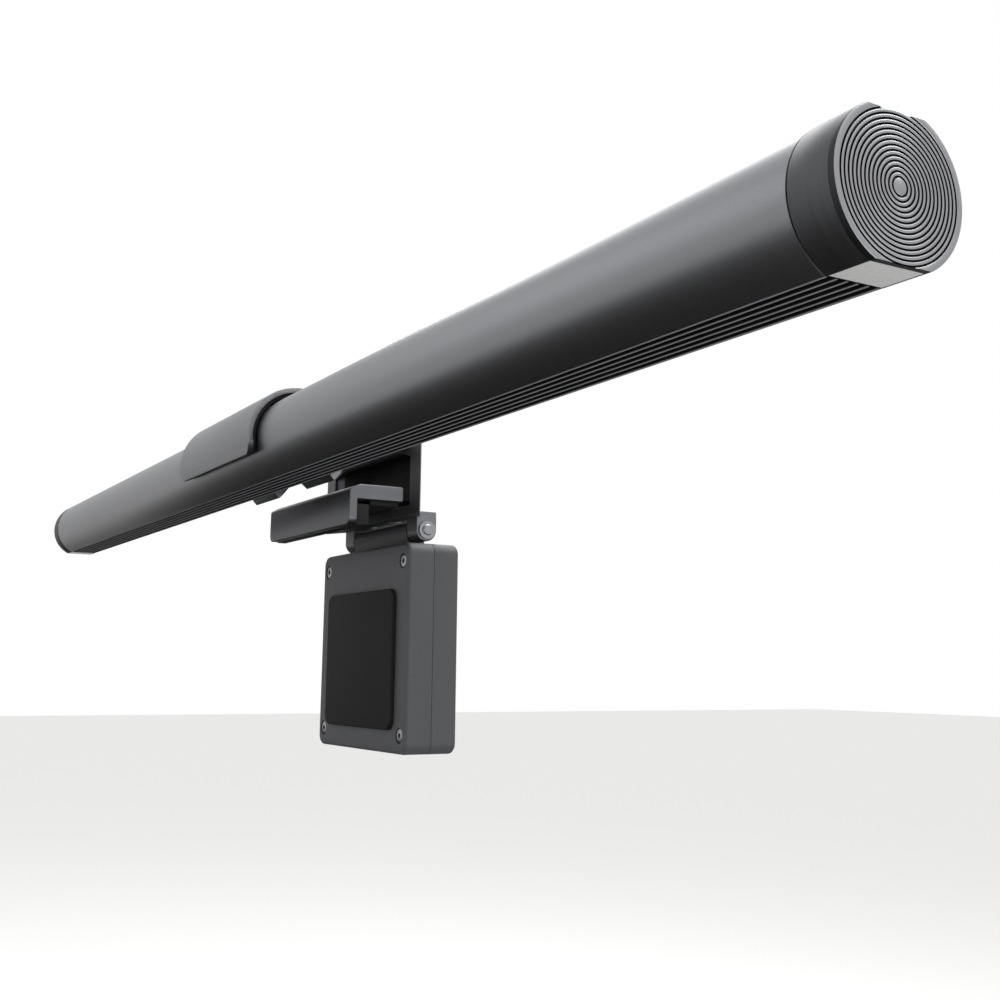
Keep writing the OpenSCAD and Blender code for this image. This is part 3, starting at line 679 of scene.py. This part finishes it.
SADDLE_HALF = box_mm("saddle_clip")[1].x
LINER_HALF = box_mm("saddle_liner")[1].x
clip = carve(open_ring(CLIP_R, OUTER_R, LEAN, SADDLE_HALF, 0.28),
             [pin_y(CLEAR_R, x, ARM_SCREW_Z, axis_y, axis_y + 20) for x in SADDLE_SCREW_X]
             + [pin_y(SADDLE_HEAD_R, x, ARM_SCREW_Z, axis_y, axis_y + SADDLE_SEAT) for x in SADDLE_SCREW_X])
piece("saddle", clip, "clamp", "saddle_grey", "saddle_clip", saddle_anodised)
liner = carve(open_ring(tube_r + 0.3, CLIP_R, 0, LINER_HALF, 0.15),
              [pin_y(SADDLE_HEAD_R + 0.1, x, ARM_SCREW_Z, axis_y, axis_y + 20) for x in SADDLE_SCREW_X])
piece("saddle_lining", liner, "clamp", "liner_black", "saddle_liner", silicone)

# %% [markdown]
# The hook is bent and machined: a lip hangs before the screen, a plate lies over
# its top edge, and a narrower tongue runs back into the neck. Its side outline
# is drawn with the small slopes where lip meets plate, pulled to full width, and
# its lower corners are rounded first, then all edges.

# %% Hook
hook_low, hook_high = box_mm("hook")
LIP_Y = hook_low.y
LIP_BACK = -8.3
PLATE_Z = 1.3
PLATE_REAR = 4.8
NOSE = 0.6
LIP_ROUND = 2.0
TONGUE = ((-13, 4, PLATE_Z), (13, 14.6, 4.2))
top = hook_high.z
cheek = [(-7.4, top - 0.1), (-8.1, 4.9), (LIP_Y + 0.3, 3.7), (LIP_Y, 3.2)]
hook = prism((LIP_Y, hook_low.z),
             [("line", LIP_BACK, hook_low.z), ("line", LIP_BACK, PLATE_Z),
              ("line", PLATE_REAR - NOSE, PLATE_Z), ("arc", (PLATE_REAR - NOSE, PLATE_Z + NOSE), 90, 6),
              ("line", PLATE_REAR, top - NOSE), ("arc", (PLATE_REAR - NOSE, top - NOSE), 90, 6),
              *[("line", *point) for point in cheek], ("line", LIP_Y, hook_low.z)],
             hook_low.x, hook_high.x, ALONG_X)


def lip_corner(e):
    """The two lower corners of the lip."""
    a, b = (v.co for v in e.verts)
    low = max(a.z, b.z) < hook_low.z + 0.01
    return low and abs(a.x - b.x) < 0.01 and abs(a.x) > hook_high.x - 0.01


soften(hook, LIP_ROUND, 10, lip_corner)
soften(hook, 0.2, 3)
tongue = soften(block(*TONGUE), 0.2)
piece("hook_piece", together(hook, tongue), "clamp", "hook_grey", "hook", hook_anodised)

# %% [markdown]
# Two rubber pads keep the metal off the screen. The one behind the lip is a
# moulded strip with a round lower edge, and the one below the plate is a flat
# strip. Both are pulled outlines with soft edges.

# %% Hook pads
pad_low, pad_high = box_mm("hook_front_pad")
PAD_ROUND = 1.2
front_pad = prism((pad_low.y, pad_low.z),
                  [("line", pad_high.y - PAD_ROUND, pad_low.z),
                   ("arc", (pad_high.y - PAD_ROUND, pad_low.z + PAD_ROUND), 90, 10),
                   ("line", pad_high.y, pad_high.z), ("line", pad_low.y, pad_high.z),
                   ("line", pad_low.y, pad_low.z)], pad_low.x, pad_high.x, ALONG_X)
piece("front_pad", soften(front_pad, 0.25), "clamp", "pad_black", "hook_front_pad", silicone)
rest_low, rest_high = box_mm("hook_rest_pad")
piece("rest_pad", soften(block(rest_low, rest_high), 0.2), "clamp", "pad_black", "hook_rest_pad", silicone)

# %% [markdown]
# The neck stands behind the hook: a front frame with a window, a rear shell with
# two hinge lugs, and a black tub that lines the pocket. All three share one
# window outline with cut upper corners, grown a little for the outer pieces.
# The housing narrows towards the rear, so each piece is the common part of its
# front outline and a tall tapered prism. The frame is made first.

# %% Neck frame
bezel_low, bezel_high = box_mm("neck_bezel")
neck_half = bezel_high.x
shell_far = box_mm("neck_shell")[1].y
WINDOW_X = 25.7
SILL_Z = 1.2
CUT_Z = 14.5
CUT_X = 19
WINDOW_TOP = 16.3
NECK_FLOOR = bezel_low.z
NECK_ROUND = 3
POCKET_Y = 14.9
POCKET_X = 14
FLARE_Y = 8.6
FLARE_SLOPE = 2.05
TUB_WALL = 1
JOINT_X = (-8, 8)
HOOK_SCREW_Y = 12.6
NECK_HEAD_R = 2.2


def flare(wide, narrow, near, far):
    """A tall prism, as wide as the front to near, and evenly narrower to far."""
    return prism((-wide, -30), [("line", wide, -30), ("line", wide, near), ("line", narrow, far),
                                ("line", -narrow, far), ("line", -wide, near), ("line", -wide, -30)],
                 -30, 50, ALONG_Z)


def pocket(grow, near):
    """The pocket behind the window, grown all round, from one depth to its end."""
    side, sill, head = WINDOW_X + grow, SILL_Z - grow, WINDOW_TOP + grow
    outline = prism((-side, sill), [("line", side, sill), ("line", side, CUT_Z), ("line", CUT_X + grow, head),
                                    ("line", -CUT_X - grow, head), ("line", -side, CUT_Z),
                                    ("line", -side, sill)], -POCKET_Y - grow, -near, ALONG_Y)
    return carve(outline, [flare(side, POCKET_X + grow, bezel_low.y + 0.7, POCKET_Y + grow + 0.01)],
                 "INTERSECT")


def arch_plate(half, low, high, radius, near, far):
    """A plate with its two upper corners round."""
    return prism((-half, low), [("line", half, low), ("line", half, high - radius),
                                ("arc", (half - radius, high - radius), 90, 12),
                                ("line", -half + radius, high),
                                ("arc", (-half + radius, high - radius), 90, 12),
                                ("line", -half, low)], -far, -near, ALONG_Y)


def housing_flare():
    """The taper of the neck's outside."""
    return flare(neck_half, neck_half - FLARE_SLOPE * (shell_far - FLARE_Y), FLARE_Y, shell_far)


bezel = carve(arch_plate(neck_half, NECK_FLOOR, bezel_high.z, NECK_ROUND, bezel_low.y, bezel_high.y),
              [housing_flare()], "INTERSECT")
bezel = carve(bezel, [pocket(0, bezel_low.y - 1)])
bmesh.ops.dissolve_limit(bezel, angle_limit=0.005, verts=bezel.verts, edges=bezel.edges)
soften(bezel, 0.2, 3, lambda e: max(v.co.y for v in e.verts) < bezel_low.y + 0.01)
bezel = carve(bezel, [pin_y(CLEAR_R, x, ARM_SCREW_Z, bezel_low.y - 1, bezel_high.y + 1) for x in JOINT_X])
piece("neck_frame", bezel, "clamp", "neck_grey", "neck_bezel", neck_anodised, fold=FOLD)

# %% [markdown]
# The shell takes the same taper, and closes the pocket from behind. A straight
# foot carries two lugs for the hinge pin. The holes come last, so that every
# face they cut is already there.

# %% Neck shell
LUG_IN, LUG_OUT = 18, 24
LUG_R = 3
PIN_R = 1.5
shell = carve(arch_plate(neck_half, NECK_FLOOR, bezel_high.z, NECK_ROUND, bezel_high.y, shell_far),
              [housing_flare()], "INTERSECT")
shell = carve(shell, [block((-LUG_OUT, bezel_high.y, NECK_FLOOR), (LUG_OUT, shell_far, 0))], "UNION")
bmesh.ops.dissolve_limit(shell, angle_limit=0.005, verts=shell.verts, edges=shell.edges)
soften(shell, 0.4, 3, lambda e: min(v.co.y for v in e.verts) > shell_far - 0.01)
shell = carve(shell, [pocket(TUB_WALL + 0.1, bezel_high.y - 1)])
lugs = []
for side in (-1, 1):
    lug = prism((PIVOT.y - LUG_R, PIVOT.z), [("arc", (PIVOT.y, PIVOT.z), 180, 24),
                                             ("line", PIVOT.y + LUG_R, NECK_FLOOR + 0.3),
                                             ("line", PIVOT.y - LUG_R, NECK_FLOOR + 0.3),
                                             ("line", PIVOT.y - LUG_R, PIVOT.z)],
                min(side * LUG_IN, side * LUG_OUT), max(side * LUG_IN, side * LUG_OUT), ALONG_X)
    lugs.append(soften(lug, 0.25))
shell = carve(shell, lugs, "UNION")
shell = carve(shell, [rod(PIN_R, -40, 40, PIVOT)]
              + [pin_z(CLEAR_R, x, HOOK_SCREW_Y, NECK_FLOOR - 1, 4) for x in JOINT_X]
              + [pin_z(NECK_HEAD_R, x, HOOK_SCREW_Y, NECK_FLOOR - 1, NECK_FLOOR + 0.8) for x in JOINT_X]
              + [pin_y(CLEAR_R, x, ARM_SCREW_Z, bezel_high.y - 1, 30) for x in JOINT_X]
              + [pin_y(NECK_HEAD_R, x, ARM_SCREW_Z, shell_far - 1.6, 30) for x in JOINT_X])
piece("neck_rear_shell", shell, "clamp", "neck_grey", "neck_shell", neck_anodised, fold=FOLD)

# %% [markdown]
# The tub that lines the pocket is the pocket's own shape with a 1 mm wall: the
# grown pocket with the plain one cut out of it.

# %% Pocket lining
tub = carve(pocket(TUB_WALL, bezel_high.y), [pocket(0, bezel_high.y - 1)])
tub = carve(tub, [pin_z(CLEAR_R, x, HOOK_SCREW_Y, NECK_FLOOR - 1, 4) for x in JOINT_X])
piece("pocket_lining", tub, "clamp", "pocket_black", "pocket_tub", pocket_black, fold=FOLD)

# %% [markdown]
# Two short arms and a crossbar carry the saddle on the neck. The plug passes
# between the arms. Their front ends are cut to the saddle's curve, so we cut
# them with a round bar of the same radius and centre as the saddle's outside.

# %% Arm
arm_low, arm_high = box_mm("neck_arm")
ARM_IN = 10.5
ARM_BAR_Y = 2
arm = block((-arm_high.x, ARM_BAR_Y, arm_low.z), (arm_high.x, arm_high.y, arm_high.z))
arm = carve(arm, [block((min(s * ARM_IN, s * arm_high.x), axis_y + 8, arm_low.z),
                        (max(s * ARM_IN, s * arm_high.x), arm_high.y - 2, arm_high.z)) for s in (-1, 1)],
            "UNION")
bmesh.ops.dissolve_limit(arm, angle_limit=0.01, verts=arm.verts, edges=arm.edges)
soften(arm, 0.3, 3)
shift = Vector((0, *polar(LEAN, REAR_DEG)))
arm = carve(arm, [rod(OUTER_R - 0.02, -40, 40, AXIS + shift, 160)]
            + [pin_y(THREAD_R, x, ARM_SCREW_Z, axis_y, axis_y + 21) for x in SADDLE_SCREW_X]
            + [pin_y(THREAD_R, x, ARM_SCREW_Z, 1.3, 30) for x in JOINT_X])
piece("arm", arm, "clamp", "neck_grey", "neck_arm", neck_anodised)

# %% [markdown]
# The leg hangs behind the screen on the hinge pin. Its case is two moulded
# halves with a fine parting line, round outer edges, and a knuckle on the front
# half that turns on the pin. Each half is a solid with the inside cut out. The
# front half is made first.

# %% Leg, front half
LEG_WALL = 1.6
LEG_ROUND = 3
KNUCKLE_HALF = 17.5
KNUCKLE_R = 3
KNUCKLE_T = 2.6
leg_low, leg_high = box_mm("leg_rear_shell")
leg_near = box_mm("leg_pad")[1].y
leg_top = leg_high.z
leg_half = leg_high.x
leg_screws_at = [(side * (leg_half - 3.7), z) for side in (-1, 1) for z in (leg_top - 4.8, leg_low.z + 4.8)]


def round_plate(half, low, high, radius, near, far):
    """A plate with four round corners."""
    return prism((-half + radius, low),
                 [("line", half - radius, low), ("arc", (half - radius, low + radius), 90, 12),
                  ("line", half, high - radius), ("arc", (half - radius, high - radius), 90, 12),
                  ("line", -half + radius, high), ("arc", (-half + radius, high - radius), 90, 12),
                  ("line", -half, low + radius), ("arc", (-half + radius, low + radius), 90, 12)],
                 -far, -near, ALONG_Y)


def leg_half_case(near, far, outside, hollow_near, hollow_far):
    """One hollow half: its outside face gets a wide round, its parting edge a fine one."""
    case = round_plate(leg_half, leg_low.z, leg_top, LEG_ROUND, near, far)
    soften(case, 1.0, 5, lambda e: max(abs(v.co.y - outside) for v in e.verts) < 0.01)
    soften(case, 0.12, 2, lambda e: max(abs(v.co.y - outside) for v in e.verts) > 2)
    return carve(case, [round_plate(leg_half - LEG_WALL, leg_low.z + LEG_WALL, leg_top - LEG_WALL,
                                    LEG_ROUND - LEG_WALL, hollow_near, hollow_far)])


front = leg_half_case(leg_near, PIVOT.y, leg_near, leg_near + LEG_WALL, PIVOT.y + 1)
knuckle = prism((PIVOT.y - KNUCKLE_R, PIVOT.z),
                [("line", PIVOT.y - KNUCKLE_T, PIVOT.z - KNUCKLE_R / 2),
                 ("line", PIVOT.y - KNUCKLE_T, leg_top + 0.02), ("line", PIVOT.y + KNUCKLE_T, leg_top + 0.02),
                 ("line", PIVOT.y + KNUCKLE_T, PIVOT.z - KNUCKLE_R / 2),
                 ("arc", (PIVOT.y, PIVOT.z), 210, 28), ("line", PIVOT.y - KNUCKLE_R, PIVOT.z)],
                -KNUCKLE_HALF, KNUCKLE_HALF, ALONG_X)
soften(knuckle, 0.2)
foot = block((-KNUCKLE_HALF + 0.3, PIVOT.y - KNUCKLE_T, leg_top - 0.8),
             (KNUCKLE_HALF - 0.3, PIVOT.y, leg_top + 1.5))
front = carve(carve(front, [foot], "UNION"), [knuckle], "UNION")
front = carve(front, [rod(1.56, -40, 40, PIVOT)]
              + [pin_y(1.2, x, z, 0, 20) for x, z in leg_screws_at]
              + [pin_y(2, x, z, 0, leg_near + 1.2) for x, z in leg_screws_at])
piece("leg_front", front, "leg", "leg_grey", "leg_front_shell", abs_grey)

# %% [markdown]
# The rear half starts a hair behind the front one, which leaves a fine parting
# line. Four posts inside reach forward and take the screws.

# %% Leg, rear half
PARTING = 0.05
rear = leg_half_case(PIVOT.y + PARTING, leg_high.y, leg_high.y, PIVOT.y - 1, leg_high.y - LEG_WALL)
rear = carve(rear, [pin_y(2, x, z, leg_near + 1.7, leg_high.y - 1.5) for x, z in leg_screws_at], "UNION")
rear = carve(rear, [pin_y(1, x, z, 0, leg_high.y - 2.4) for x, z in leg_screws_at])
piece("leg_rear", rear, "leg", "leg_grey", "leg_rear_shell", abs_grey)

# %% [markdown]
# The pad on the leg's front is a moulded rubber plate. Only its front edge is
# soft: its back is glued flat on the case.

# %% Leg pad
leg_pad_low, leg_pad_high = box_mm("leg_pad")
leg_pad = round_plate(leg_pad_high.x, leg_pad_low.z, leg_pad_high.z, LEG_ROUND, leg_pad_low.y, leg_near)
soften(leg_pad, 0.35, 3, lambda e: max(v.co.y for v in e.verts) < leg_pad_low.y + 0.01)
piece("leg_cushion", leg_pad, "leg", "pad_black", "leg_pad", silicone)

# %% [markdown]
# Every screw is a small machine screw with a hexagon socket. One function turns
# the profile, cuts the socket and points the screw, so all of them match. The
# hinge pin is turned in the same way, with a chamfer at both ends.

# %% Screws and pin
def screw(at, way, head_r, head_h, shank_r, length, socket_r, socket_t):
    """A screw whose head's top is at a point, and whose shank goes the given way."""
    bm = turned((0, 0), [("line", 0, head_r - 0.25), ("line", 0.08, head_r - 0.08), ("line", 0.25, head_r),
                         ("line", head_h, head_r), ("line", head_h, shank_r),
                         ("line", length - 0.5, shank_r), ("line", length, shank_r * 0.55),
                         ("line", length, 0)], 40)
    bm = carve(bm, [prism(*circle(socket_r, 6), -0.2, socket_t)])
    aim = Vector((1, 0, 0)).rotation_difference(Vector(way)).to_matrix().to_4x4()
    bmesh.ops.transform(bm, matrix=Matrix.Translation(at) @ aim, verts=bm.verts)
    return bm


SHANK = 1.05
for side, name in ((-1, "left"), (1, "right")):
    bits = [screw((side * (cap_x1 - 0.4), place.y, place.z), (-side, 0, 0), 1.9, 1.4, SHANK,
                  cap_x1 - 0.4 - (body_x - 9), 0.9, 0.7) for place in channel_places]
    piece("cap_screw_pair_" + name, together(*bits), "lamp", "screw_steel", "cap_screws_" + name, steel)
bits = [screw((x, axis_y + 11.4, ARM_SCREW_Z), (0, 1, 0), 2.1, 0.9, SHANK, 8.8, 0.8, 0.5)
        for x in SADDLE_SCREW_X]
piece("saddle_screw_pair", together(*bits), "clamp", "screw_steel", "saddle_screws", steel)
bits = [screw((x, shell_far - 0.3, ARM_SCREW_Z), (0, -1, 0), 2.0, 1.3, SHANK, shell_far - 2.8, 0.9, 0.7)
        for x in JOINT_X]
piece("neck_screw_pair", together(*bits), "clamp", "screw_steel", "neck_screws", steel)
bits = [screw((x, HOOK_SCREW_Y, NECK_FLOOR + 0.05), (0, 0, 1), 2.0, 0.7, SHANK, 4.85, 0.8, 0.45)
        for x in JOINT_X]
piece("hook_screw_pair", together(*bits), "clamp", "screw_steel", "hook_screws", steel)
bits = [screw((x, leg_near + 0.15, z), (0, 1, 0), 1.8, 1.0, 0.95, 9.95, 0.8, 0.6) for x, z in leg_screws_at]
piece("leg_screw_set", together(*bits), "leg", "screw_steel", "leg_screws", steel)
pin_half = box_mm("hinge_pin")[1].x
pin = turned((-pin_half, 0), [("line", -pin_half, 1.25), ("line", -pin_half + 0.25, 1.5),
                              ("line", pin_half - 0.25, 1.5), ("line", pin_half, 1.25),
                              ("line", pin_half, 0)], 48, ALONG_Z, PIVOT)
piece("pin", pin, "clamp", "pin_steel", "hinge_pin", steel)

# %% [markdown]
# The inlet is a drawn steel shell with round ends, open to the rear, with a
# contact tongue inside. It lies a few degrees below level, in line with the
# notch in the saddle, so its parts are turned about the tube's axis.

# %% Inlet
inlet_back = tube_r - 7.3
inlet = carve(round_slot(8.94, 3.26, inlet_back, tube_r - 0.25),
              [round_slot(8.34, 2.66, inlet_back + 0.6, tube_r)])
tongue = soften(block((-3.35, inlet_back + 0.6, -0.35), (3.35, tube_r - 1.2, 0.35)), 0.1)
contacts = []
for side in (-1, 1):
    for i in range(12):
        contact_x = (i - 5.5) * 0.5
        contacts.append(block((contact_x - 0.12, inlet_back + 1.5, side * 0.36 - 0.03),
                              (contact_x + 0.12, tube_r - 1.6, side * 0.36 + 0.03)))
blade = together(tongue, *contacts)
for face in blade.faces:
    centre = face.calc_center_median()
    face.material_index = 2 if abs(centre.z) > 0.3501 else 1
bmesh.ops.transform(blade, matrix=socket_turn, verts=blade.verts)
piece("cable_inlet", together(inlet, blade), "lamp", "socket_steel", "usb_socket", steel, epoxy_black,
      brass)

# %% [markdown]
# The parts deep inside keep their solids, because their shape is right and
# little of them is ever seen. Each still gets the finish of the real part.

# %% Finishes of the inner solids
inner = {"diffuser_lens": lens_smoked, "reflector": white_paint, "led_board": board_white,
         "led_chips_warm": chip_warm, "led_chips_cool": chip_cool, "driver_board": board_green,
         "driver_parts": epoxy_black, "radio_module": steel, "board_link_pins": brass,
         "counterweight": weight_steel, "pin_rings": steel}
for name, finish in inner.items():
    for holder in nodes[name].material_slots:
        holder.material = finish
print("inner solids finished:", len(inner))

# %% [markdown]
# The studio is plain: a pale floor, and a black card below the bar. Studios use
# such a card to keep the underside of a shiny round object dark. The camera
# doesn't see it, and it casts no shadow.

# %% Floor and card
def sheet_at(name, low, high, height, finish):
    """A flat stage piece."""
    bm = bmesh.new()
    bmesh.ops.create_grid(bm, x_segments=1, y_segments=1, size=0.5)
    bmesh.ops.scale(bm, vec=(high[0] - low[0], high[1] - low[1], 1), verts=bm.verts)
    bmesh.ops.translate(bm, vec=((low[0] + high[0]) / 2, (low[1] + high[1]) / 2, height), verts=bm.verts)
    mesh = bpy.data.meshes.new(name)
    bm.to_mesh(mesh)
    bm.free()
    mesh.materials.append(finish)
    made = bpy.data.objects.new(name, mesh)
    bpy.context.scene.collection.objects.link(made)
    return made


floor_pale = surface("Painted floor", "#fbfbfa", "#fefefd", 4.0, (0.7, 0.8), 0.0, (1, 1, 1), 0.01)
card_black = surface("Black card", "#050505", "#070707", 1.0, (0.9, 1.0), 0.0, (1, 1, 1), 0.01)
sheet_at("floor", (-9, -9), (9, 9), -0.38, floor_pale)
card = sheet_at("card", (-1.4, -0.7), (0.34, 0.5), -0.2, card_black)
card.visible_camera = False
card.visible_shadow = False
card.visible_diffuse = False

# %% [markdown]
# The air is white where the camera sees it, and a little dimmer towards the
# ground for everything else, so the metal has something to mirror. Three soft
# boxes do the rest: the large one above draws the band along the tube, the front
# one fills the face, and the low one lights the near end.

# %% World and lights
world = bpy.data.worlds.new("studio")
bpy.context.scene.world = world
world.use_nodes = True
NEAR_GROUND, HIGH_UP = 0.62, 0.9
tree = world.node_tree
air = tree.nodes["Background"]
path = add(tree, "ShaderNodeLightPath")
height = add(tree, "ShaderNodeSeparateXYZ", {"Vector": add(tree, "ShaderNodeTexCoord").outputs["Generated"]})
fade = add(tree, "ShaderNodeMapRange", {"Value": height.outputs["Z"], "From Min": 0.0, "From Max": 0.8,
                                        "To Min": NEAR_GROUND, "To Max": HIGH_UP})
level = add(tree, "ShaderNodeMix", {"Factor": path.outputs["Is Camera Ray"], "A": fade.outputs["Result"],
                                    "B": 1.0})
tree.links.new(level.outputs["Result"], air.inputs["Strength"])
air.inputs["Color"].default_value = (1, 1, 1, 1)


def soft_box(name, place, target, width, depth, power):
    """A rectangular soft light aimed at a point."""
    lamp = bpy.data.lights.new(name, "AREA")
    lamp.shape = "RECTANGLE"
    lamp.size = width
    lamp.size_y = depth
    lamp.energy = power
    holder = bpy.data.objects.new(name, lamp)
    bpy.context.scene.collection.objects.link(holder)
    holder.location = place
    holder.rotation_euler = (Vector(target) - Vector(place)).to_track_quat("-Z", "Y").to_euler()
    return holder


soft_box("top_box", (-0.1, 0.3, 0.7), (-0.05, -0.02, 0.01), 1.5, 0.5, 11)
soft_box("front_box", (-0.5, -1.0, 0.6), (0, -0.02, 0.01), 0.9, 0.6, 0.7)
soft_box("low_box", (0.75, 0.1, -0.25), (0.22, -0.02, 0.005), 0.3, 0.3, 0.8)

# %% [markdown]
# The camera stands close to the near end, a little below the bar, and looks up
# along it. The lens is shifted a little so the bar fills the frame.

# %% Camera
YAW = radians(30.25)
PITCH = radians(10.15)
ROLL = radians(0.58)
PLACE = (0.32193, -0.13650, -0.04249)
LENS = 44.58
SENSOR = 36
SHIFT = -0.05
forward = Vector((-cos(YAW) * cos(PITCH), sin(YAW) * cos(PITCH), sin(PITCH)))
level_right = forward.cross(Vector((0, 0, 1))).normalized()
level_up = level_right.cross(forward)
right = cos(ROLL) * level_right + sin(ROLL) * level_up
up = -sin(ROLL) * level_right + cos(ROLL) * level_up
camera_data = bpy.data.cameras.new("camera")
camera_data.sensor_width = SENSOR
camera_data.lens = LENS
camera_data.shift_y = SHIFT
camera_data.clip_start = 0.01
camera = bpy.data.objects.new("camera", camera_data)
bpy.context.scene.collection.objects.link(camera)
turn = Matrix((right, up, -forward)).transposed().to_4x4()
camera.matrix_world = Matrix.Translation(PLACE) @ turn
bpy.context.scene.camera = camera
bpy.context.scene.view_settings.view_transform = "Standard"
print("camera at", PLACE, "lens", LENS)
